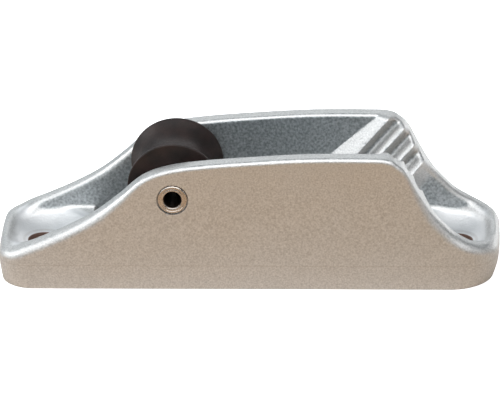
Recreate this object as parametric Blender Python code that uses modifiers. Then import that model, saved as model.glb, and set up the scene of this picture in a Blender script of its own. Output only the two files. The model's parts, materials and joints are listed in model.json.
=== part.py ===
"""Rope jam cleat: an aluminium casting with a toothed V groove between two walls, a rope roller
at the load end, and the tubular rivet that the roller turns on.

Frame: +X runs along the cleat to its toothed end, +Y across it, +Z up. The origin is on the
base face, under the middle of the casting.
"""

import math

import bmesh
import bpy
from mathutils import Matrix, Vector

MM = 0.001
MERGE = 0.00001

# Driving dimensions, in millimetres.
LENGTH = 82.0
WIDTH = 21.0
WALL = 3.2
PAD_FLOOR = 6.5
WELL_FLOOR = 3.0
GROOVE_FLOOR = 5.5
END_CORNERS = (4.0, 5.5)
END_BULGE = 0.45
PAST = 5.0
CLEAR = 0.05

# Height of the walls along the cleat: two low screw pads, a long level crown between them.
CROWN = (
    (-41.0, 6.1), (-38.5, 6.3), (-36.0, 7.35), (-33.0, 8.6), (-29.0, 10.5), (-25.0, 12.8),
    (-21.0, 15.9), (-17.0, 19.35), (-13.0, 21.0), (-8.0, 21.85), (0.0, 22.55), (10.0, 23.15),
    (20.0, 23.2), (23.0, 22.95), (24.5, 22.15), (26.0, 20.6), (28.0, 16.75), (30.0, 13.45),
    (32.0, 11.1), (34.0, 9.2), (37.0, 7.55), (41.0, 6.5),
)

# The open space between the walls.
CAVITY_ENDS = (-39.3, 39.9)
CAVITY_CORNERS = (5.0, 4.0)
WELL_ENDS = (-26.0, -2.5)
GROOVE_ENDS = (-4.0, 32.7)

# Screw holes and the shallow bowl round each one.
HOLE_X = 34.0
HOLE_R = 2.5
BOWL_FLOOR = 4.0
BOWL_R = 9.6
BOWL_RISE = 0.05

# Teeth: ridges that slope down towards the roller on both sides of the V groove.
CROWN_HEIGHT = 23.0
TOOTH_ANGLE = math.radians(48.0)
TOOTH_START = 1.6
TOOTH_PITCH = 3.03
TOOTH_GAPS = 3
FLUTE_R = 1.55
FLUTE_DEPTH = 1.05
FLUTE_FLOOR = 9.5
RAMP = 0.85
END_RUN = 2.6
FLANK = ((CROWN_HEIGHT + 1.5, 6.7), (15.0, 5.1), (6.4, 1.7))

# Roller, rivet and their seats in the walls.
AXLE_X = -12.0
AXLE_Z = 15.95
ROLLER_R = 7.6
ROLLER_WIDTH = 10.9
ROLLER_GROOVE_R = 5.7
ROLLER_RIM = 0.5
HUB_R = 3.6
HUB_PROUD = 0.15
RIVET_R = 2.0
RIVET_BORE_R = 1.4
RIVET_LIP_R = 2.45
RIVET_LIP = 0.45
SEAT_R = 2.6
SEAT_DEPTH = 0.6
SEAT_GAP = 0.05
RUNNING_GAP = 0.08
SIDE_GAP = 0.15
BOSS_R = 4.2

HALF_LENGTH = LENGTH / 2
HALF_WIDTH = WIDTH / 2
INNER = HALF_WIDTH - WALL
CUT_TOP = CROWN_HEIGHT + PAST
BOSS_FACE = ROLLER_WIDTH / 2 + HUB_PROUD + SIDE_GAP

# (u, v, w) of an outline and its thickness to world axes.
ALONG_X = Matrix(((0, 0, 1), (1, 0, 0), (0, 1, 0))).to_4x4()
ALONG_Y = Matrix(((1, 0, 0), (0, 0, -1), (0, 1, 0))).to_4x4()
ALONG_Z = Matrix.Identity(4)


def clear_scene():
    for old in list(bpy.data.objects):
        bpy.data.objects.remove(old, do_unlink=True)


def new_collection(name):
    collection = bpy.data.collections.new(name)
    bpy.context.scene.collection.children.link(collection)
    return collection


def add_object(name, data, collection):
    made = bpy.data.objects.new(name, data)
    collection.objects.link(made)
    return made


def as_cutter(made):
    made.hide_render = True
    made.display_type = "WIRE"
    return made


def give_material(made, name, colour, roughness, metallic):
    material = bpy.data.materials.new(name)
    material.use_nodes = True
    shader = material.node_tree.nodes["Principled BSDF"]
    shader.inputs["Base Color"].default_value = (*colour, 1.0)
    shader.inputs["Roughness"].default_value = roughness
    shader.inputs["Metallic"].default_value = metallic
    made.data.materials.append(material)


def mesh_from_curve(curve_object, collection):
    """The curve as a welded mesh object of the same name, in the same place."""
    name = curve_object.name
    bpy.context.view_layer.update()
    evaluated = curve_object.evaluated_get(bpy.context.evaluated_depsgraph_get())
    mesh = bpy.data.meshes.new_from_object(evaluated)
    mesh.transform(curve_object.matrix_world)
    bpy.data.objects.remove(curve_object, do_unlink=True)
    shape = bmesh.new()
    shape.from_mesh(mesh)
    bmesh.ops.remove_doubles(shape, verts=shape.verts, dist=MERGE)
    bmesh.ops.recalc_face_normals(shape, faces=shape.faces)
    shape.to_mesh(mesh)
    shape.free()
    return add_object(name, mesh, collection)


def prism(name, outline, direction, low, high, collection):
    """A flat outline in millimetres, made solid from low to high along the given direction."""
    curve = bpy.data.curves.new(name, "CURVE")
    curve.dimensions = "2D"
    curve.fill_mode = "BOTH"
    curve.extrude = (high - low) / 2 * MM
    spline = curve.splines.new("POLY")
    spline.points.add(len(outline) - 1)
    for point, (u, v) in zip(spline.points, outline):
        point.co = (u * MM, v * MM, 0.0, 1.0)
    spline.use_cyclic_u = True
    made = add_object(name, curve, collection)
    made.matrix_world = direction @ Matrix.Translation((0, 0, (high + low) / 2 * MM))
    return mesh_from_curve(made, collection)


def turned(name, profile, steps, collection):
    """A profile of (radius, height) points in millimetres, turned round the local Z axis."""
    mesh = bpy.data.meshes.new(name)
    shape = bmesh.new()
    points = [shape.verts.new((radius * MM, 0.0, height * MM)) for radius, height in profile]
    for start, end in zip(points, points[1:]):
        shape.edges.new((start, end))
    if profile[0][0] > 0:
        shape.edges.new((points[-1], points[0]))
    shape.to_mesh(mesh)
    shape.free()
    made = add_object(name, mesh, collection)
    screw = made.modifiers.new("turn", "SCREW")
    screw.axis = "Z"
    screw.steps = steps
    screw.render_steps = steps
    screw.use_merge_vertices = True
    screw.merge_threshold = MERGE
    return made


def hull(name, points, collection):
    """The convex solid that just holds the points, in millimetres."""
    mesh = bpy.data.meshes.new(name)
    shape = bmesh.new()
    for point in points:
        shape.verts.new(Vector(point) * MM)
    result = bmesh.ops.convex_hull(shape, input=shape.verts)
    bmesh.ops.delete(shape, geom=result["geom_interior"], context="VERTS")
    bmesh.ops.recalc_face_normals(shape, faces=shape.faces)
    shape.to_mesh(mesh)
    shape.free()
    return as_cutter(add_object(name, mesh, collection))


def rod(name, radius, points, collection):
    """A round rod in millimetres along a few points."""
    curve = bpy.data.curves.new(name, "CURVE")
    curve.dimensions = "3D"
    curve.bevel_depth = radius * MM
    curve.bevel_resolution = 3
    curve.use_fill_caps = True
    spline = curve.splines.new("POLY")
    spline.points.add(len(points) - 1)
    for point, place in zip(spline.points, points):
        point.co = (*(Vector(place) * MM), 1.0)
    return as_cutter(mesh_from_curve(add_object(name, curve, collection), collection))


def combine(made, other, operation):
    modifier = made.modifiers.new(f"{operation.lower()} {other.name}", "BOOLEAN")
    modifier.operation = operation
    modifier.object = other
    modifier.solver = "EXACT"


def arc(centre, radius, start, end, count):
    """Points on an arc, from start to end in degrees."""
    angles = [math.radians(start + (end - start) * step / count) for step in range(count + 1)]
    return [(centre[0] + radius * math.cos(a), centre[1] + radius * math.sin(a)) for a in angles]


def end_points(end_x, corner, half_width, bulge, count=6):
    """Half of one rounded end, from its middle to the side, for the end at positive X."""
    straight = half_width - corner
    middle = [
        (end_x - bulge * (step / 4) ** 2, straight * step / 4)
        for step in range(4)
    ]
    return middle + arc((end_x - bulge - corner, straight), corner, 0, 90, count)


def plan_outline(low_x, high_x, corners, half_width, bulge):
    """A long outline with a rounded, slightly bulged end at each side, anticlockwise."""
    right = end_points(high_x, corners[1], half_width, bulge)
    left = [(-x, y) for x, y in reversed(end_points(-low_x, corners[0], half_width, bulge))]
    upper = right + left
    lower = [(x, -y) for x, y in reversed(upper[1:-1])]
    return upper + lower


def smooth_path(points, count):
    """Catmull-Rom curve through the points."""
    ends = [points[0], *points, points[-1]]
    path = []
    for index in range(1, len(ends) - 2):
        before, start, end, after = (Vector(point) for point in ends[index - 1:index + 3])
        for step in range(count):
            t = step / count
            path.append(tuple(
                0.5 * (2 * start + (end - before) * t
                       + (2 * before - 5 * start + 4 * end - after) * t ** 2
                       + (3 * start - 3 * end + after - before) * t ** 3)
            ))
    return path + [points[-1]]


def slant_x(distance, height):
    """X of the sloping tooth line that lies this far across the teeth, at a height."""
    return (distance + height * math.cos(TOOTH_ANGLE)) / math.sin(TOOTH_ANGLE)


def flank_y(height):
    """Half width of the V groove at the tips of its teeth."""
    (top, top_y), (bend, bend_y), (low, low_y) = FLANK
    if height > bend:
        return bend_y + (top_y - bend_y) * (height - bend) / (top - bend)
    return low_y + (bend_y - low_y) * (height - low) / (bend - low)


def ramp_foot(tip):
    """How far across the teeth the front ramp meets the wall, at a given groove half width."""
    return TOOTH_START - (INNER - tip) / RAMP


def blank(parts, cutters):
    """The casting's outside: the plan outline, as high as the crown line allows."""
    outline = plan_outline(-HALF_LENGTH, HALF_LENGTH, END_CORNERS, HALF_WIDTH, END_BULGE)
    body = prism("cleat_body", outline, ALONG_Z, 0.0, CUT_TOP, parts)
    crown = [(x * (HALF_LENGTH + PAST) / HALF_LENGTH if abs(x) == HALF_LENGTH else x, z)
             for x, z in CROWN]
    side = smooth_path(crown, 2)
    side += [(HALF_LENGTH + PAST, -PAST), (-HALF_LENGTH - PAST, -PAST)]
    combine(body, as_cutter(prism("crown_cutter", side[::-1], ALONG_Y,
                                  -WIDTH, WIDTH, cutters)), "INTERSECT")
    return body


def cut_space(body, name, side, cutters):
    """Opens the space between the walls, over the floor that the side outline gives."""
    cutter = prism(name, plan_outline(*CAVITY_ENDS, CAVITY_CORNERS, INNER, 0.0), ALONG_Z,
                   -PAST, CUT_TOP + PAST, cutters)
    limit = prism(f"{name}_limit", side, ALONG_Y, -WIDTH, WIDTH, cutters)
    combine(cutter, as_cutter(limit), "INTERSECT")
    combine(body, as_cutter(cutter), "DIFFERENCE")


def cut_channel(body, cutters):
    """The roller's well, the plain channel after it and the two screw pads."""
    feet = [(ramp_foot(flank_y(height)), height)
            for height in (FLANK[2][0], FLANK[1][0], FLANK[0][0])]
    before_teeth = [
        (-HALF_LENGTH - PAST, PAD_FLOOR),
        (WELL_ENDS[0], PAD_FLOOR),
        (WELL_ENDS[0], WELL_FLOOR),
        (WELL_ENDS[1], WELL_FLOOR),
        *((slant_x(foot, height), height) for foot, height in feet),
        (slant_x(feet[-1][0], CUT_TOP), CUT_TOP),
        (-HALF_LENGTH - PAST, CUT_TOP),
    ]
    cut_space(body, "load_end_cutter", before_teeth, cutters)
    end = TOOTH_START + TOOTH_GAPS * TOOTH_PITCH + END_RUN
    after_teeth = [
        (slant_x(end, PAD_FLOOR), PAD_FLOOR),
        (HALF_LENGTH + PAST, PAD_FLOOR),
        (HALF_LENGTH + PAST, CUT_TOP),
        (slant_x(end, CUT_TOP), CUT_TOP),
    ]
    cut_space(body, "tail_end_cutter", after_teeth, cutters)


def cut_slope(body, name, side, crest, foot_of, cutters):
    """Slopes one wall's tooth block from a crest line back to the wall."""
    points = []
    for height in (GROOVE_FLOOR - CLEAR, FLANK[1][0], CUT_TOP):
        tip = flank_y(height)
        foot = foot_of(tip)
        past = math.copysign(1.0, foot - crest)
        points.append((slant_x(crest, height), side * (tip - CLEAR), height))
        points.append((slant_x(crest, height), -side, height))
        points.append((slant_x(foot, height), side * (INNER - CLEAR), height))
        points.append((slant_x(foot + past, height), side * (INNER - CLEAR), height))
        points.append((slant_x(foot + past, height), -side, height))
    combine(body, hull(name, points, cutters), "DIFFERENCE")


def cut_groove(body, cutters):
    """The V groove, its ramp at the front, its flutes and its faired end."""
    right = [(flank_y(height), height) for height in (CUT_TOP, FLANK[1][0], FLANK[2][0])]
    low_y, low = FLANK[2][1], FLANK[2][0]
    section = [*right, (low_y / 2, GROOVE_FLOOR + (low - GROOVE_FLOOR) / 4), (0.0, GROOVE_FLOOR)]
    section += [(-y, z) for y, z in reversed(section[:-1])]
    combine(body, as_cutter(prism("groove_cutter", section, ALONG_X, *GROOVE_ENDS, cutters)),
            "DIFFERENCE")
    last = TOOTH_START + TOOTH_GAPS * TOOTH_PITCH
    for side, word in ((-1, "near"), (1, "far")):
        cut_slope(body, f"ramp_cutter_{word}", side, TOOTH_START,
                  ramp_foot, cutters)
        cut_slope(body, f"fairing_cutter_{word}", side, last, lambda tip: last + END_RUN, cutters)
        for gap in range(TOOTH_GAPS):
            middle = TOOTH_START + (gap + 0.5) * TOOTH_PITCH
            out = FLUTE_R - FLUTE_DEPTH
            path = [(slant_x(middle, height), side * (flank_y(height) - out), height)
                    for height in (FLUTE_FLOOR, FLANK[1][0], CUT_TOP)]
            combine(body, rod(f"flute_cutter_{word}_{gap}", FLUTE_R, path, cutters),
                    "DIFFERENCE")


def cut_screw_holes(body, cutters):
    """A through hole and a shallow bowl in each pad."""
    for word, place in (("left", -HOLE_X), ("right", HOLE_X)):
        radii = [BOWL_R - (BOWL_R - HOLE_R) * step / 6 for step in range(7)]
        bowl = [(0.0, CUT_TOP), (BOWL_R, CUT_TOP)]
        bowl += [(r, BOWL_FLOOR + BOWL_RISE * (r * r - HOLE_R * HOLE_R)) for r in radii]
        bowl += [(HOLE_R, -PAST), (0.0, -PAST)]
        cutter = as_cutter(turned(f"screw_cutter_{word}", bowl, 40, cutters))
        cutter.location = (place * MM, 0.0, 0.0)
        limit = prism(f"bowl_limit_{word}", plan_outline(
            *CAVITY_ENDS, CAVITY_CORNERS, INNER - CLEAR, 0.0), ALONG_Z, -2 * PAST,
            CUT_TOP + PAST, cutters)
        combine(cutter, as_cutter(limit), "INTERSECT")
        combine(body, cutter, "DIFFERENCE")


def seat_roller(body, cutters):
    """A boss inside each wall that centres the roller, and the rivet's bore and seats."""
    turn = Matrix.Translation((AXLE_X * MM, 0.0, AXLE_Z * MM)) @ ALONG_Y
    for side, word in ((-1, "near"), (1, "far")):
        low, high = sorted((side * BOSS_FACE, side * (INNER + 0.5)))
        boss = [(0.0, high), (BOSS_R, high), (BOSS_R, low), (0.0, low)]
        made = as_cutter(turned(f"boss_{word}", boss, 32, cutters))
        made.matrix_world = turn
        combine(body, made, "UNION")
    inner_r = RIVET_R + SEAT_GAP
    seat = HALF_WIDTH - SEAT_DEPTH
    past = HALF_WIDTH + PAST
    bore = [
        (0.0, past), (SEAT_R, past), (SEAT_R, seat), (inner_r, seat),
        (inner_r, -seat), (SEAT_R, -seat), (SEAT_R, -past), (0.0, -past),
    ]
    cutter = as_cutter(turned("rivet_bore_cutter", bore, 40, cutters))
    cutter.matrix_world = turn
    combine(body, cutter, "DIFFERENCE")


def make_body(parts, cutters):
    body = blank(parts, cutters)
    cut_channel(body, cutters)
    cut_groove(body, cutters)
    cut_screw_holes(body, cutters)
    seat_roller(body, cutters)
    give_material(body, "anodised_casting", (0.56, 0.56, 0.55), 0.42, 0.9)


def on_axle(made):
    """Puts a turned piece's own Z axis on the axle line, so that it turns about its origin."""
    made.matrix_world = Matrix.Translation((AXLE_X * MM, 0.0, AXLE_Z * MM)) @ ALONG_Y


def make_roller(parts):
    """A waisted roller with thin rims and a hub that stands a little proud."""
    half = ROLLER_WIDTH / 2
    throat = half - ROLLER_RIM
    steps = 10
    groove = []
    for step in range(steps + 1):
        height = throat - 2 * throat * step / steps
        dip = (ROLLER_R - ROLLER_GROOVE_R) * (1 - (height / throat) ** 2)
        groove.append((ROLLER_R - dip, height))
    bore_r = RIVET_R + RUNNING_GAP
    profile = [
        (bore_r, half + HUB_PROUD), (HUB_R, half + HUB_PROUD), (HUB_R, half),
        (ROLLER_R - 0.2, half), (ROLLER_R, half - 0.2), *groove, (ROLLER_R, 0.2 - half),
        (ROLLER_R - 0.2, -half), (HUB_R, -half), (HUB_R, -half - HUB_PROUD),
        (bore_r, -half - HUB_PROUD),
    ]
    roller = turned("roller", profile, 56, parts)
    give_material(roller, "roller_plastic", (0.035, 0.03, 0.028), 0.5, 0.0)
    on_axle(roller)


def make_rivet(parts):
    """A steel tube whose ends are rolled out into the seats in the walls."""
    end = HALF_WIDTH - SEAT_DEPTH + SEAT_GAP
    lip = end + RIVET_LIP
    turn_in = 0.2
    half = [
        (RIVET_BORE_R + turn_in, lip), (RIVET_LIP_R - turn_in, lip),
        (RIVET_LIP_R, lip - turn_in), (RIVET_LIP_R, end), (RIVET_R, end),
    ]
    profile = half + [(r, -h) for r, h in reversed(half)]
    profile += [(RIVET_BORE_R, turn_in - lip), (RIVET_BORE_R, lip - turn_in)]
    rivet = turned("tubular_rivet", profile, 40, parts)
    give_material(rivet, "rivet_steel", (0.62, 0.6, 0.57), 0.25, 1.0)
    on_axle(rivet)


def shade_round(parts):
    for made in parts.objects:
        made.data.shade_smooth()
        made.data.set_sharp_from_angle(angle=math.radians(30))


def main():
    clear_scene()
    parts = new_collection("jam_cleat")
    cutters = new_collection("cutters")
    make_body(parts, cutters)
    make_roller(parts)
    make_rivet(parts)
    shade_round(parts)


main()
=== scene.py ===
"""Looks for the rope jam cleat: a finely meshed casting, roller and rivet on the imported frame."""

import json
import math

import bmesh
import bpy
import numpy as np
from mathutils import Matrix, Vector


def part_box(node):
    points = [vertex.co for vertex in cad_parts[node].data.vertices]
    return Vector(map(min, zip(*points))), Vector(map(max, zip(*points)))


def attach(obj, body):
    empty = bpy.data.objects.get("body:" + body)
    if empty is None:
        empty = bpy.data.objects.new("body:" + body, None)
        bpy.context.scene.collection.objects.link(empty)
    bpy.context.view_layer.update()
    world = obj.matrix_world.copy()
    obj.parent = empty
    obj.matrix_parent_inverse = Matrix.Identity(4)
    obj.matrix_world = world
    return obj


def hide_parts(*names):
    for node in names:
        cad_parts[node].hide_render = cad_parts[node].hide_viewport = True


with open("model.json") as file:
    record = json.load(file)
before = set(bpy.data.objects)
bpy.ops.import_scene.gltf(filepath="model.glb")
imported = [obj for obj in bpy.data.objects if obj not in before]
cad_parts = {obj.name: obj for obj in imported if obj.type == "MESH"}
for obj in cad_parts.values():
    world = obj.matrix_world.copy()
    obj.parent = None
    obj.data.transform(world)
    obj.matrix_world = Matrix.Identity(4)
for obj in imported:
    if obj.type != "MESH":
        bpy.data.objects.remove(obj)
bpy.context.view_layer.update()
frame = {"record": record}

MM = 0.001

# Lengths are in millimetres as far as the stage. A pair of lengths that differ from end to end
# is (load end, tail end), and a pair of fillets is (low rim, high rim).

# Outside of the casting.
HALF_LENGTH, HALF_WIDTH, HEIGHT = np.array(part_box("cleat_body")[1]) / MM
END_CORNERS = (4.0, 5.5)
END_BULGE = 0.45
PARTING = 4.2
WALL_DRAFT = 0.012
END_TUCKS = (0.4, 1.0)
TUCK_POWER = 1.5
TOP_FILLETS = (1.55, 0.7)
LIP_FILLETS = (1.05, 0.6)
FILLET_HEIGHTS = (14.0, 20.5)
LIP_SWELL = 0.5
BASE_FILLET = 0.1
CROWN = (
    (-41.0, 6.1), (-38.5, 6.3), (-36.0, 7.35), (-33.0, 8.6), (-29.0, 10.5), (-25.0, 12.8),
    (-21.0, 15.9), (-17.0, 19.35), (-13.0, 21.0), (-8.0, 21.85), (0.0, 22.55), (10.0, 23.15),
    (20.0, 23.2), (23.0, 22.95), (24.5, 22.15), (26.0, 20.6), (28.0, 16.75), (30.0, 13.45),
    (32.0, 11.1), (34.0, 9.2), (37.0, 7.55), (41.0, 6.5),
)

# Space between the walls: half widths, with the heights between which the walls thicken and
# the length over which the lower width changes, then the ends and the floor.
INNER_HEIGHTS = (12.0, 22.0)
INNER_HIGH_WIDTH = 7.5
INNER_LOW_WIDTHS = (7.0, 7.2)
INNER_SPAN = 20.0
CAVITY_ENDS = (-39.3, 39.9)
CAVITY_CORNERS = (5.0, 4.0)
CAVITY_FILLET = 0.75
END_FILLETS = (0.6, 1.5)
END_SWELL = (34.0, 38.0)
PAD_FLOOR = 6.5
PAD_BLEND = 0.4
WELL_X = -26.0
WELL_EDGE = 0.15
CHANNEL_FLOOR = ((-2.5, 3.0), (0.0, 5.5), (20.0, 5.5), (26.0, 6.5))
CHANNEL_EDGE = 0.05
HOLE_X = 34.0
HOLE_R = 2.5
HOLE_EDGE = 0.1
BOWL_FLOOR = 4.0
BOWL_RISE = 0.05

# Teeth: crests and flutes that slant down to the load end, between a ramp and a fairing.
TOOTH_ANGLE = math.radians(48.0)
TOOTH_START = 1.6
TOOTH_PITCH = 3.03
TOOTH_GAPS = 3
FLUTE_DEPTH = 1.35
FLUTE_FOOT = (7.0, 10.0)
FLUTE_FULLNESS = 0.75
RAMP = 0.75
END_RUN = 4.2
BLOCK_BLEND = 0.12
FLANK = ((6.4, 1.7), (15.0, 5.1), (24.5, 6.7))

# Roller and rivet.
JOINT = frame["record"]["behaviour"]["joints"][0]
AXLE_X, _, AXLE_Z = (value / MM for value in JOINT["pos_m"])
ROLLER_LOW, ROLLER_HIGH = (np.array(corner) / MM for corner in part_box("roller"))
ROLLER_R = (ROLLER_HIGH[0] - ROLLER_LOW[0]) / 2
HUB_FACE = ROLLER_HIGH[1]
HUB_R = 3.6
HUB_CHAMFER = 0.12
HUB_STEP = 0.15
HUB_FOOT = (0.02, 0.1)
ROLLER_FACE = HUB_FACE - HUB_STEP
ROLLER_GROOVE_R = 5.7
ROLLER_RIM = 0.5
ROLLER_CORNER = 0.22
ROLLER_EDGE = 0.08
ROLLER_BORE = 2.08
GROOVE_DROP = 0.03
GROOVE_SHARE = 0.985
RIVET_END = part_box("tubular_rivet")[1][1] / MM
RIVET_R = 2.0
RIVET_CLEARANCE = 0.05
RIVET_BORE_R = 1.4
RIVET_MOUTH = 0.36
RIVET_THROAT = 0.5
RIVET_LIP_R = 2.45
RIVET_LIP = 0.45
RIVET_CORNER = 0.3
RIVET_FOOT = (0.05, 0.02)
RING_EDGES = (0.62, 0.56, 0.46, 0.4)
RING_DEPTH = 0.07
SEAT_R = 2.6
SEAT_DEPTH = 0.6
SEAT_EDGE = 0.08
BOSS_R = 4.2
BOSS_GAP = 0.15
BOSS_EDGE = 0.2
BOSS_ROOT = 2.0

# Mesh of the casting: for each axis the margins past the box, the coarse and the fine cell,
# and where the fine cells are.
GRID_X = (-0.6, 0.6, 0.42, 0.25, ((-37, -31), (-15, -9), (19, 29.5), (31, 37)))
GRID_Y = (-0.5, 0.5, 0.46, 0.25, ((-HALF_WIDTH - 1, -5.2), (5.2, HALF_WIDTH + 1)))
GRID_Z = (-0.4, 0.6, 0.42, 0.25, ((3.5, 7.0), (13.0, 24.0)))
LEAN_STEP = 0.02
NORMAL_STEP = 0.01
VERTEX_PULL = 0.05

# Angles in degrees above which an edge is shaded as a crisp one.
CASTING_CRISP = 38
TURNED_CRISP = 50

# Where the casting's finishes and painted shade start and stop, in metres or as the share of a
# normal.
PAD_FACING = (0.55, 0.75)
PAD_TOP = ((PAD_FLOOR + 0.1) * MM, (PAD_FLOOR + 0.4) * MM)
PAD_RADIUS = (8.2 * MM, 8.8 * MM)
PAD_END = (4.4 * MM, 5.2 * MM)
HOLE_RADIUS = ((HOLE_R + 0.08) * MM, (HOLE_R + 0.16) * MM)
WALL_FACING = (0.84, 0.95)
WALL_INSIDE = (8.2 * MM, 8.6 * MM)
WALL_SHARE = 0.8
SEAM_WIDTH = (0.03 * MM, 0.12 * MM)
SEAM_SHARE = 0.17
TURNING_PITCH = 0.5 * MM
STEEL_TURNING_PITCH = 0.17 * MM
STEEL_BORE = ((RIVET_BORE_R + 0.03) * MM, (RIVET_BORE_R + 0.2) * MM)

# Noise scales, and the span of a noise's value that carries its contrast.
GRAIN, SPECKLE, CLOUD = 3600.0, 2300.0, 60.0
NYLON_GRAIN, NYLON_CLOUD = 3000.0, 420.0
STEEL_GRAIN = 1800.0
WIDE = (0.3, 0.7)
NARROW = (0.35, 0.65)

# Colours.
METAL_TINTS = ((0.46, 0.46, 0.46, 1), (0.70, 0.70, 0.695, 1))
SPECKLE_TINT = (0.64, 0.635, 0.62, 1)
# Painted shade: the inner walls' darker, bluer tints stand in for their shade and the cool
# surroundings they reflect.
PAINTED_WALL_SHADE_TINTS = ((0.27, 0.30, 0.315, 1), (0.60, 0.64, 0.66, 1))
PAD_TINT = (0.78, 0.78, 0.785, 1)
SEAM_TINT = (0.30, 0.25, 0.20, 1)
# Painted shade for the inside of the screw holes.
HOLE_PAINTED_SHADE = (0.15, 0.09, 0.07, 1)
NYLON_TINTS = ((0.008, 0.005, 0.0045, 1), (0.024, 0.013, 0.011, 1))
STEEL_TINTS = ((0.46, 0.41, 0.37, 1), (0.56, 0.51, 0.46, 1))
# Painted shade for the inside of the rivet's bore.
RIVET_BORE_PAINTED_SHADE = (0.10, 0.075, 0.06, 1)

# Stage, in metres. The floor's warm colour runs from left to right along FLOOR_WARM_X and
# turns pale behind the object, along FLOOR_PALE_Y.
FLOOR_WARM = ((0.62, 0.45, 0.315, 1), (0.55, 0.385, 0.245, 1))
FLOOR_WARM_X = (-0.06, 0.06)
FLOOR_PALE = (0.92, 0.92, 0.92, 1)
FLOOR_PALE_Y = (-0.03, 0.04)
FLOOR_SEEN = (0.9, 0.9, 0.9, 1)
FLOOR_GLOW = 0.8
FLOOR_SIZE = 6.0
FLOOR_DROP = 0.00005
ROOM_COLOUR = (0.68, 0.88, 1.0, 1)
ROOM_LIGHT = (0.30, 0.09)
ROOM_SPAN = (-0.7, 0.7)
BACKDROP = (0.97, 0.97, 0.97, 1)

# Lights: name, place, aim, size and power in watts.
LIGHTS = (
    ("overhead", (0.0, -0.40, 0.62), (0, 0, 0), (1.05, 0.85), 7.2),
    ("left", (-0.75, -0.05, 0.42), (0, 0, 0), (0.45, 0.4), 3.1),
    ("back", (-0.1, 0.85, 0.55), (0, 0, 0), (1.4, 0.45), 3.0),
    ("far_right", (0.75, 0.80, 0.12), (0, 0, 0.012), (0.7, 0.35), 2.4),
    ("right", (0.9, -0.25, 0.28), (0, 0, 0.012), (0.4, 0.4), 0.65),
)

# Camera: azimuth, elevation and roll in degrees, then where it aims, its distance and lens.
CAMERA_TURN = (2.9, 25.0, -1.065)
CAMERA_AIM = (0, 0, 0.012)
CAMERA_SHIFT = (0.000110, -0.000730)
CAMERA_DISTANCE = 1.0353
CAMERA_LENS = 454.9
CAMERA_SENSOR = 36.0
CAMERA_CLIP = (0.01, 20.0)


# ---------------------------------------------------------------- shape of the casting

def round_max(a, b, radius):
    """The larger of two distances, with the edge between them rounded to a radius."""
    inside = np.minimum(np.maximum(a, b), -radius)
    return inside + np.hypot(np.maximum(a + radius, 0.0), np.maximum(b + radius, 0.0))


def round_min(a, b, radius):
    """The smaller of two distances, with the corner between them rounded to a radius."""
    return -round_max(-a, -b, radius)


def soft_min(a, b, blend):
    """The smaller of two values, blended over a short span."""
    h = np.clip(0.5 + 0.5 * (b - a) / blend, 0.0, 1.0)
    return b * (1 - h) + a * h - blend * h * (1 - h)


def smooth_table(points, count=24):
    """A Catmull-Rom curve through the points, as arrays of x, height and slope."""
    ends = [points[0], *points, points[-1]]
    path = []
    for index in range(1, len(ends) - 2):
        before, start, end, after = (np.array(point) for point in ends[index - 1:index + 3])
        for t in np.arange(count) / count:
            path.append(0.5 * (
                2 * start + (end - before) * t
                + (2 * before - 5 * start + 4 * end - after) * t ** 2
                + (3 * start - 3 * end + after - before) * t ** 3
            ))
    path.append(np.array(points[-1]))
    x, height = np.array(path).T
    return x, height, np.gradient(height, x)


CROWN_TABLE = smooth_table(CROWN)


def inner_wall(x, z):
    """Half width between the plain walls, which thicken downwards."""
    foot, top = INNER_HEIGHTS
    load, tail = INNER_LOW_WIDTHS
    rise = np.clip((z - foot) / (top - foot), 0.0, 1.0)
    low = load + (tail - load) * np.clip(x / INNER_SPAN + 0.5, 0.0, 1.0)
    return low + (INNER_HIGH_WIDTH - low) * rise


def tooth_block(x, z):
    """How far the tooth block stands in from the plain wall."""
    tip = inner_wall(x, z) - np.interp(z, *zip(*FLANK))
    across = x * math.sin(TOOTH_ANGLE) - z * math.cos(TOOTH_ANGLE)
    last = TOOTH_START + TOOTH_GAPS * TOOTH_PITCH
    ramp = tip + (across - TOOTH_START) * RAMP
    fairing = tip * np.clip(1 - (across - last) / END_RUN, 0.0, None) ** 2
    turn = 2 * math.pi * (across - TOOTH_START) / TOOTH_PITCH
    foot, full = FLUTE_FOOT
    flute = FLUTE_DEPTH * (0.5 - 0.5 * np.cos(turn)) ** FLUTE_FULLNESS
    flute = flute * np.clip((z - foot) / (full - foot), 0.0, 1.0)
    between = (across > TOOTH_START) & (across < last)
    block = soft_min(tip - np.where(between, flute, 0.0), ramp, BLOCK_BLEND)
    return np.maximum(soft_min(block, fairing, BLOCK_BLEND), 0.0)


def pad(x, y, centre):
    """Height of one screw pad: flat, with a dish round its hole."""
    dish = BOWL_FLOOR + BOWL_RISE * ((x - centre) ** 2 + y ** 2 - HOLE_R ** 2)
    return soft_min(dish, np.full_like(x, PAD_FLOOR), PAD_BLEND)


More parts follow.
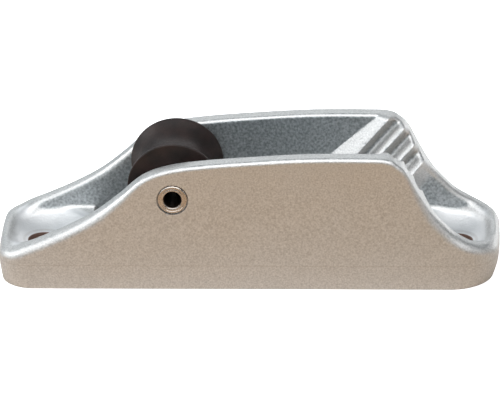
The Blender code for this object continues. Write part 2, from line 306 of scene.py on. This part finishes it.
def casting(x, y, z):
    """Distance to the casting's surface, below zero inside the metal, in millimetres."""
    load_end = x < 0
    side = np.abs(y)

    # Outside: the plan outline, the crown and the base.
    below = np.clip((PARTING - z) / PARTING, 0.0, 1.0) ** TUCK_POWER
    draft = WALL_DRAFT * np.clip(z - PARTING, 0.0, None)
    bulge = END_BULGE * (y / HALF_WIDTH) ** 2
    ends = np.abs(x) + bulge + draft + np.where(load_end, *END_TUCKS) * below - HALF_LENGTH
    corner = np.where(load_end, *END_CORNERS) + below
    outline = round_max(ends, side + draft - HALF_WIDTH, corner)
    crown_x, crown_z, crown_slope = CROWN_TABLE
    slope = np.interp(x, crown_x, crown_slope)
    crown = np.interp(x, crown_x, crown_z)
    top = (z - crown) / np.sqrt(1 + slope ** 2)
    level = np.interp(crown, FILLET_HEIGHTS, (0.0, 1.0))
    top_fillet, lip_fillet = (
        low + (high - low) * level for low, high in (TOP_FILLETS, LIP_FILLETS)
    )
    outside = round_max(round_max(outline, top, top_fillet), -z, BASE_FILLET)

    # Inside: the walls with their teeth, and the floor of pads, well and channel.
    block = tooth_block(x, z)
    lean_x = (tooth_block(x + LEAN_STEP, z) - block) / LEAN_STEP
    lean_z = (tooth_block(x, z + LEAN_STEP) - block) / LEAN_STEP
    wall = side - inner_wall(x, z) + block
    wall = wall / np.sqrt(1 + lean_x ** 2 + lean_z ** 2)
    reach = np.where(load_end, CAVITY_ENDS[0] - x, x - CAVITY_ENDS[1])
    inside = round_max(reach, wall, np.where(load_end, *CAVITY_CORNERS))
    load_pad = pad(x, y, -HOLE_X) - z
    tail_pad = pad(x, y, HOLE_X) - z
    channel = round_max(WELL_X - x, np.interp(x, *zip(*CHANNEL_FLOOR)) - z, CHANNEL_EDGE)
    floor = np.where(
        load_end, round_min(load_pad, channel, WELL_EDGE), np.minimum(channel, tail_pad)
    )
    start, full = END_SWELL
    swell = np.clip((np.abs(x) - start) / (full - start), 0.0, 1.0)
    fillet = CAVITY_FILLET + np.where(load_end, *END_FILLETS) * swell * swell * (3 - 2 * swell)
    cavity = round_max(inside, floor, fillet)
    body = round_max(outside, -cavity, lip_fillet + np.where(load_end, LIP_SWELL, 0.0) * swell)

    # Bosses, the rivet's bore and seats, and the screw holes.
    axle = np.hypot(x - AXLE_X, z - AXLE_Z)
    boss = round_max(axle - BOSS_R, HUB_FACE + BOSS_GAP - side, BOSS_EDGE)
    body = np.minimum(body, np.maximum(boss, side - HALF_WIDTH + BOSS_ROOT))
    body = np.maximum(body, RIVET_R + RIVET_CLEARANCE - axle)
    seat = np.maximum(axle - SEAT_R, HALF_WIDTH - SEAT_DEPTH - side)
    body = round_max(body, -seat, SEAT_EDGE)
    hole = np.hypot(np.abs(x) - HOLE_X, y) - HOLE_R
    return round_max(body, -hole, HOLE_EDGE)


# ---------------------------------------------------------------- meshing

def graded(low, high, coarse, fine, fine_spans):
    """Grid lines from low to high, closer together inside the fine spans."""
    lines = [low]
    while lines[-1] < high:
        here = lines[-1] + coarse / 2
        close = any(start < here < end for start, end in fine_spans)
        lines.append(lines[-1] + (fine if close else coarse))
    return np.array(lines)


def crossings(field, lines, value, axis):
    """Where the surface crosses the grid edges along one axis: each crossing's point, and the
    four cells round its edge, wound to face outwards."""
    shape = [len(line) - 1 for line in lines]
    cell_of = np.arange(np.prod(shape)).reshape(shape)
    along = np.moveaxis(value, axis, 0)
    changed = np.argwhere((along[:-1] < 0) != (along[1:] < 0))
    index = np.insert(changed[:, 1:], axis, changed[:, 0], axis=1)
    others = [other for other in range(3) if other != axis]
    inner = np.all([(index[:, o] > 0) & (index[:, o] < shape[o]) for o in others], axis=0)
    index = index[inner]
    after = index.copy()
    after[:, axis] += 1
    start = np.stack([lines[k][index[:, k]] for k in range(3)], 1)
    end = np.stack([lines[k][after[:, k]] for k in range(3)], 1)
    low, high = value[tuple(index.T)], value[tuple(after.T)]
    rising = low < 0
    for _ in range(3):
        share = (low / (low - high))[:, None]
        middle = start + (end - start) * share
        at = field(*middle.T)
        same = ((at < 0) == (low < 0))
        start = np.where(same[:, None], middle, start)
        low = np.where(same, at, low)
        end = np.where(same[:, None], end, middle)
        high = np.where(same, high, at)
    ring = []
    for steps in ((0, 0), (1, 0), (1, 1), (0, 1)):
        cell = index.copy()
        cell[:, others] -= steps
        ring.append(cell_of[tuple(cell.T)])
    ring = np.stack(ring, 1)
    flip = rising if axis == 1 else ~rising
    ring[flip] = ring[flip][:, ::-1]
    return middle, ring


def surface_mesh(field, lines):
    """Dual contouring: one vertex in each cell that the surface crosses, set where the
    surface's tangent planes meet, so that crisp edges stay crisp."""
    value = field(*np.meshgrid(*lines, indexing="ij"))
    found = [crossings(field, lines, value, axis) for axis in range(3)]
    quads = np.concatenate([ring for _, ring in found])
    cells = quads.reshape(-1)
    points = np.concatenate([np.repeat(middle, 4, axis=0) for middle, _ in found])
    normals = np.stack([
        field(*(points + offset).T) - field(*(points - offset).T)
        for offset in np.eye(3) * NORMAL_STEP
    ], 1)
    normals /= np.linalg.norm(normals, axis=1, keepdims=True) + 1e-12
    used, slot = np.unique(cells, return_inverse=True)
    count = np.bincount(slot)

    def total(values):
        return np.bincount(slot, values)

    centre = np.stack([total(points[:, k]) / count for k in range(3)], 1)
    offset = np.einsum("ij,ij->i", normals, points - centre[slot])
    matrix = np.zeros((len(used), 3, 3))
    target = np.zeros((len(used), 3))
    for row in range(3):
        target[:, row] = total(normals[:, row] * offset)
        for column in range(3):
            matrix[:, row, column] = total(normals[:, row] * normals[:, column])
        matrix[:, row, row] += VERTEX_PULL
    place = centre + np.linalg.solve(matrix, target[:, :, None])[:, :, 0]
    corner = np.stack(np.unravel_index(used, [len(line) - 1 for line in lines]), 1)
    low = np.stack([lines[k][corner[:, k]] for k in range(3)], 1)
    high = np.stack([lines[k][corner[:, k] + 1] for k in range(3)], 1)
    return np.clip(place, low, high), np.searchsorted(used, quads)


def make_casting():
    """The whole casting as one closed skin."""
    boxes = ((-HALF_LENGTH, HALF_LENGTH), (-HALF_WIDTH, HALF_WIDTH), (0.0, HEIGHT))
    lines = [
        graded(low + before, high + after, *cells)
        for (low, high), (before, after, *cells) in zip(boxes, (GRID_X, GRID_Y, GRID_Z))
    ]
    place, quads = surface_mesh(casting, lines)
    mesh = bpy.data.meshes.new("casting")
    mesh.from_pydata((place * MM).tolist(), [], quads.tolist())
    mesh.validate()
    mesh.update()
    made = bpy.data.objects.new("casting", mesh)
    bpy.context.scene.collection.objects.link(made)
    mesh.shade_smooth()
    mesh.set_sharp_from_angle(angle=math.radians(CASTING_CRISP))
    return made


# ---------------------------------------------------------------- turned pieces

def arc(centre, radius, start, end, steps=8):
    """Points of an arc, as (y, r) pairs; the angle is measured from +Y towards +r."""
    angles = np.radians(np.linspace(start, end, steps + 1))
    return [(centre[0] + radius * math.cos(a), centre[1] + radius * math.sin(a)) for a in angles]


def turned(name, profile, segments=192):
    """A closed ring turned about the axle from a closed (y, r) outline in millimetres."""
    bm = bmesh.new()
    rings = []
    for y, r in profile:
        ring = []
        for index in range(segments):
            angle = 2 * math.pi * index / segments
            point = (AXLE_X + r * math.cos(angle), y, AXLE_Z + r * math.sin(angle))
            ring.append(bm.verts.new(Vector(point) * MM))
        rings.append(ring)
    for ring, other in zip(rings, rings[1:] + rings[:1]):
        for index in range(segments):
            after = (index + 1) % segments
            bm.faces.new((ring[index], ring[after], other[after], other[index]))
    bmesh.ops.recalc_face_normals(bm, faces=bm.faces)
    mesh = bpy.data.meshes.new(name)
    bm.to_mesh(mesh)
    bm.free()
    mesh.shade_smooth()
    mesh.set_sharp_from_angle(angle=math.radians(TURNED_CRISP))
    made = bpy.data.objects.new(name, mesh)
    bpy.context.scene.collection.objects.link(made)
    return made


def mirrored(half):
    """The half outline, from +Y, followed by its mirror image."""
    return half + [(-y, r) for y, r in reversed(half)]


def make_roller():
    """The waisted roller, from its bore out over the hub and the rim to the middle."""
    groove_start = ROLLER_FACE - ROLLER_RIM
    corner = (ROLLER_FACE - ROLLER_CORNER, ROLLER_R - ROLLER_CORNER)
    half = [
        (HUB_FACE - HUB_CHAMFER, ROLLER_BORE), (HUB_FACE, ROLLER_BORE + HUB_CHAMFER),
        (HUB_FACE, HUB_R - HUB_STEP), (ROLLER_FACE + HUB_FOOT[0], HUB_R),
        (ROLLER_FACE, HUB_R + HUB_FOOT[1]),
        *arc(corner, ROLLER_CORNER, 0, 90), (groove_start + ROLLER_EDGE, ROLLER_R),
    ]
    for share in np.linspace(0, 1, 25):
        depth = (ROLLER_R - ROLLER_GROOVE_R) * (1 - (1 - share) ** 2)
        half.append((groove_start * (1 - share), ROLLER_R - GROOVE_DROP - depth * GROOVE_SHARE))
    outline = mirrored(half[::-1])[:-1]
    return turned("roller_wheel", outline[::-1])


def make_rivet():
    """The tube with rolled lips, each with a turned ring."""
    end = RIVET_END
    lip_back = end - RIVET_LIP
    mouth = (end - RIVET_MOUTH, RIVET_BORE_R + RIVET_MOUTH)
    corner = (end - RIVET_CORNER, RIVET_LIP_R - RIVET_CORNER)
    depths = (0.0, RING_DEPTH, RING_DEPTH, 0.0)
    ring = [(end - depth, RIVET_LIP_R - edge) for depth, edge in zip(depths, RING_EDGES)]
    half = [
        (0.0, RIVET_BORE_R), (end - RIVET_THROAT, RIVET_BORE_R),
        *arc(mouth, RIVET_MOUTH, -90, 0), *ring, *arc(corner, RIVET_CORNER, 0, 90)[1:],
        (lip_back, RIVET_LIP_R), (lip_back, RIVET_R + RIVET_FOOT[1]),
        (lip_back - RIVET_FOOT[0], RIVET_R), (0.0, RIVET_R),
    ]
    return turned("rivet_tube", half + [(-y, r) for y, r in reversed(half[1:-1])], 96)


# ---------------------------------------------------------------- materials

class Nodes:
    """Builds one node material with short calls."""

    def __init__(self, name):
        self.material = bpy.data.materials.new(name)
        self.material.use_nodes = True
        self.tree = self.material.node_tree
        self.shader = self.tree.nodes["Principled BSDF"]
        self.place = self.add("ShaderNodeTexCoord").outputs["Object"]

    def add(self, kind, **inputs):
        """A node with its inputs set by name, or by number as _0, _1 and so on."""
        node = self.tree.nodes.new(kind)
        for key, value in inputs.items():
            key = key.replace("_", " ").strip()
            socket = node.inputs[int(key)] if key.isdigit() else node.inputs[key]
            self.put(socket, value)
        return node

    def put(self, socket, value):
        """Links a socket to another node's output, or sets it to a constant."""
        if isinstance(value, bpy.types.NodeSocket):
            self.tree.links.new(value, socket)
        else:
            socket.default_value = value

    def math(self, operation, a, b=0.0):
        node = self.tree.nodes.new("ShaderNodeMath")
        node.operation = operation
        self.put(node.inputs[0], a)
        self.put(node.inputs[1], b)
        return node.outputs[0]

    def length(self, a, b):
        """Distance from the origin of a point given by two coordinates."""
        squares = self.math("ADD", self.math("MULTIPLY", a, a), self.math("MULTIPLY", b, b))
        return self.math("SQRT", squares)

    def parts(self, vector):
        return self.add("ShaderNodeSeparateXYZ", Vector=vector).outputs

    def noise(self, scale, detail):
        made = self.add("ShaderNodeTexNoise", Vector=self.place, Scale=scale, Detail=detail)
        return made.outputs["Fac"]

    def ramp(self, value, low, high, to_low, to_high):
        made = self.add("ShaderNodeMapRange", Value=value, From_Min=low, From_Max=high,
                        To_Min=to_low, To_Max=to_high)
        return made.outputs[0]

    def rise(self, value, low, high):
        return self.ramp(value, low, high, 0.0, 1.0)

    def fall(self, value, low, high):
        return self.ramp(value, low, high, 1.0, 0.0)

    def blend(self, share, a, b):
        made = self.tree.nodes.new("ShaderNodeMix")
        made.data_type = "RGBA"
        for socket, value in ((made.inputs[0], share), (made.inputs[6], a), (made.inputs[7], b)):
            self.put(socket, value)
        return made.outputs[2]

    def bump(self, height, strength, distance, below=None):
        """A bump, on top of another one where that is given."""
        made = self.add("ShaderNodeBump", Height=height, Strength=strength, Distance=distance)
        if below is not None:
            self.put(made.inputs["Normal"], below)
        return made.outputs[0]

    def finish(self, **sockets):
        """Sets the shader's sockets by name and returns the material."""
        for key, value in sockets.items():
            self.put(self.shader.inputs[key.replace("_", " ")], value)
        return self.material


def casting_material():
    """Blasted, anodised aluminium: pale screw pads with faint turned rings and a parting line; the
    inner walls are painted darker and bluer as shade and cool reflection, and the screw holes are
    painted dark as shade."""
    n = Nodes("blasted_anodised_aluminium")
    grain = n.noise(GRAIN, 2.0)
    speckle = n.noise(SPECKLE, 3.0)
    cloud = n.noise(CLOUD, 3.0)
    x, y, z = n.parts(n.place)
    _, facing_y, facing_z = n.parts(n.add("ShaderNodeNewGeometry").outputs["True Normal"])

    # Where the pads, the parting line, and the screw holes and inner walls that get painted shade
    # are.
    from_hole = n.math("SUBTRACT", n.math("ABSOLUTE", x), HOLE_X * MM)
    radius = n.length(from_hole, y)
    pads = n.math("MULTIPLY", n.rise(facing_z, *PAD_FACING), n.fall(z, *PAD_TOP))
    pads = n.math("MULTIPLY", pads, n.fall(radius, *PAD_RADIUS))
    pads = n.math("MULTIPLY", pads, n.fall(from_hole, *PAD_END))
    holes = n.fall(radius, *HOLE_RADIUS)
    walls = n.math("MULTIPLY", n.fall(n.math("ABSOLUTE", y), *WALL_INSIDE),
                   n.rise(n.math("ABSOLUTE", facing_y), *WALL_FACING))
    from_parting = n.math("ABSOLUTE", n.math("SUBTRACT", z, PARTING * MM))
    seam = n.ramp(from_parting, *SEAM_WIDTH, SEAM_SHARE, 0.0)

    tint = n.blend(n.rise(grain, *WIDE), *METAL_TINTS)
    tint = n.blend(n.ramp(speckle, *NARROW, 0.0, 0.35), tint, SPECKLE_TINT)
    # Painted shade: the inner walls turn darker and bluer, standing in for their shade and cool
    # reflection.
    shade = n.blend(n.rise(speckle, *NARROW), *PAINTED_WALL_SHADE_TINTS)
    tint = n.blend(n.math("MULTIPLY", walls, WALL_SHARE), tint, shade)
    tint = n.blend(pads, tint, PAD_TINT)
    tint = n.blend(seam, tint, SEAM_TINT)
    # Painted shade: the screw holes are dark brown, and below they are also made not metallic.
    tint = n.blend(holes, tint, HOLE_PAINTED_SHADE)
    rough = n.math("ADD", n.ramp(grain, *WIDE, 0.45, 0.55), n.ramp(cloud, *WIDE, -0.03, 0.03))
    metal = n.math("SUBTRACT", 1.0, holes)
    blast = n.bump(grain, 0.45, 0.00007)
    dimple = n.bump(speckle, 0.25, 0.00012, blast)
    rings = n.math("SINE", n.math("MULTIPLY", radius, 2 * math.pi / TURNING_PITCH))
    marks = n.bump(n.math("MULTIPLY", rings, pads), 0.08, 0.00001, dimple)
    return n.finish(Base_Color=tint, Metallic=metal, Roughness=rough, Normal=marks)


def roller_material():
    """Moulded nylon, near black with a brown cast and a faint sheen from the rope."""
    n = Nodes("moulded_black_nylon")
    fine = n.noise(NYLON_GRAIN, 2.0)
    cloud = n.noise(NYLON_CLOUD, 4.0)
    tint = n.blend(n.rise(cloud, *WIDE), *NYLON_TINTS)
    rough = n.ramp(fine, *WIDE, 0.42, 0.55)
    return n.finish(Base_Color=tint, Roughness=rough, Specular_IOR_Level=0.32,
                    Normal=n.bump(fine, 0.3, 0.00005))


def rivet_material():
    """Bright steel with turned rings, duller inside the bore, where painted shade makes it dark."""
    n = Nodes("stainless_steel")
    grain = n.noise(STEEL_GRAIN, 2.0)
    x, _, z = n.parts(n.place)
    radius = n.length(n.math("SUBTRACT", x, AXLE_X * MM), n.math("SUBTRACT", z, AXLE_Z * MM))
    inside = n.fall(radius, *STEEL_BORE)
    tint = n.blend(n.rise(grain, *WIDE), *STEEL_TINTS)
    # Painted shade: the inside of the bore is dark.
    tint = n.blend(inside, tint, RIVET_BORE_PAINTED_SHADE)
    rough = n.math("ADD", n.ramp(grain, *WIDE, 0.22, 0.32), n.math("MULTIPLY", inside, 0.15))
    rings = n.math("SINE", n.math("MULTIPLY", radius, 2 * math.pi / STEEL_TURNING_PITCH))
    return n.finish(Base_Color=tint, Metallic=1.0, Roughness=rough,
                    Normal=n.bump(rings, 0.15, 0.00001))


# ---------------------------------------------------------------- stage

def make_floor():
    """A pale floor. The camera sees it near white; the metal sees it as a warm table."""
    bpy.ops.mesh.primitive_plane_add(size=FLOOR_SIZE, location=(0, 0, -FLOOR_DROP))
    floor = bpy.context.active_object
    floor.name = "floor"
    n = Nodes("pale_floor")
    x, y, _ = n.parts(n.place)
    warm = n.blend(n.rise(x, *FLOOR_WARM_X), *FLOOR_WARM)
    tint = n.blend(n.rise(y, *FLOOR_PALE_Y), warm, FLOOR_PALE)
    n.finish(Base_Color=tint, Roughness=1.0, Specular_IOR_Level=0.0)
    pale = n.add("ShaderNodeBsdfDiffuse", Color=FLOOR_SEEN)
    glow = n.add("ShaderNodeEmission", Color=(1, 1, 1, 1), Strength=FLOOR_GLOW)
    seen = n.add("ShaderNodeAddShader", _0=pale.outputs[0], _1=glow.outputs[0])
    path = n.add("ShaderNodeLightPath")
    both = n.add("ShaderNodeMixShader", _0=path.outputs["Is Camera Ray"],
                 _1=n.shader.outputs[0], _2=seen.outputs[0])
    n.put(n.tree.nodes["Material Output"].inputs[0], both.outputs[0])
    floor.data.materials.append(n.material)
    return floor


def area_light(name, place, aim, size, power):
    """A soft white rectangle that shines on the aim and isn't seen itself."""
    light = bpy.data.lights.new(name, "AREA")
    light.shape = "RECTANGLE"
    light.size, light.size_y = size
    light.energy = power
    made = bpy.data.objects.new(name, light)
    made.location = place
    made.visible_camera = False
    made.rotation_euler = (Vector(aim) - Vector(place)).to_track_quat("-Z", "Y").to_euler()
    bpy.context.scene.collection.objects.link(made)


def make_world():
    """Soft cool room light, dimmer from the right; the camera sees a plain pale backdrop."""
    world = bpy.data.worlds.new("studio")
    bpy.context.scene.world = world
    world.use_nodes = True
    tree = world.node_tree
    room = tree.nodes["Background"]
    room.inputs["Color"].default_value = ROOM_COLOUR
    way = tree.nodes.new("ShaderNodeTexCoord")
    parts = tree.nodes.new("ShaderNodeSeparateXYZ")
    fade = tree.nodes.new("ShaderNodeMapRange")
    for socket, value in zip(fade.inputs[1:5], (*ROOM_SPAN, *ROOM_LIGHT)):
        socket.default_value = value
    tree.links.new(way.outputs["Generated"], parts.inputs[0])
    tree.links.new(parts.outputs[0], fade.inputs[0])
    tree.links.new(fade.outputs[0], room.inputs["Strength"])
    backdrop = tree.nodes.new("ShaderNodeBackground")
    backdrop.inputs["Color"].default_value = BACKDROP
    path = tree.nodes.new("ShaderNodeLightPath")
    both = tree.nodes.new("ShaderNodeMixShader")
    tree.links.new(path.outputs["Is Camera Ray"], both.inputs[0])
    tree.links.new(room.outputs[0], both.inputs[1])
    tree.links.new(backdrop.outputs[0], both.inputs[2])
    tree.links.new(both.outputs[0], tree.nodes["World Output"].inputs[0])


def make_camera():
    """The camera, placed by the angles from which the object is seen."""
    azimuth, elevation, roll = (math.radians(v) for v in CAMERA_TURN)
    back = Vector((math.sin(azimuth) * math.cos(elevation),
                   -math.cos(azimuth) * math.cos(elevation), math.sin(elevation)))
    right = Vector((math.cos(azimuth), math.sin(azimuth), 0))
    up = back.cross(right)
    across = right * math.cos(roll) + up * math.sin(roll)
    above = up * math.cos(roll) - right * math.sin(roll)
    aim = Vector(CAMERA_AIM) + across * CAMERA_SHIFT[0] + above * CAMERA_SHIFT[1]
    place = aim + back * CAMERA_DISTANCE
    camera = bpy.data.objects.new("camera", bpy.data.cameras.new("camera"))
    turn = Matrix((across, above, back)).transposed().to_4x4()
    camera.matrix_world = Matrix.Translation(place) @ turn
    camera.data.sensor_width = CAMERA_SENSOR
    camera.data.lens = CAMERA_LENS
    camera.data.clip_start, camera.data.clip_end = CAMERA_CLIP
    bpy.context.scene.collection.objects.link(camera)
    bpy.context.scene.camera = camera


# ---------------------------------------------------------------- the scene

make_camera()
make_world()
make_floor()
for light in LIGHTS:
    area_light(*light)
bpy.context.scene.view_settings.view_transform = "Standard"

body = make_casting()
body.data.materials.append(casting_material())
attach(body, "frame")
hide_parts("cleat_body")

roller = make_roller()
roller.data.materials.append(roller_material())
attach(roller, "roller")
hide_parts("roller")

rivet = make_rivet()
rivet.data.materials.append(rivet_material())
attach(rivet, "frame")
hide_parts("tubular_rivet")
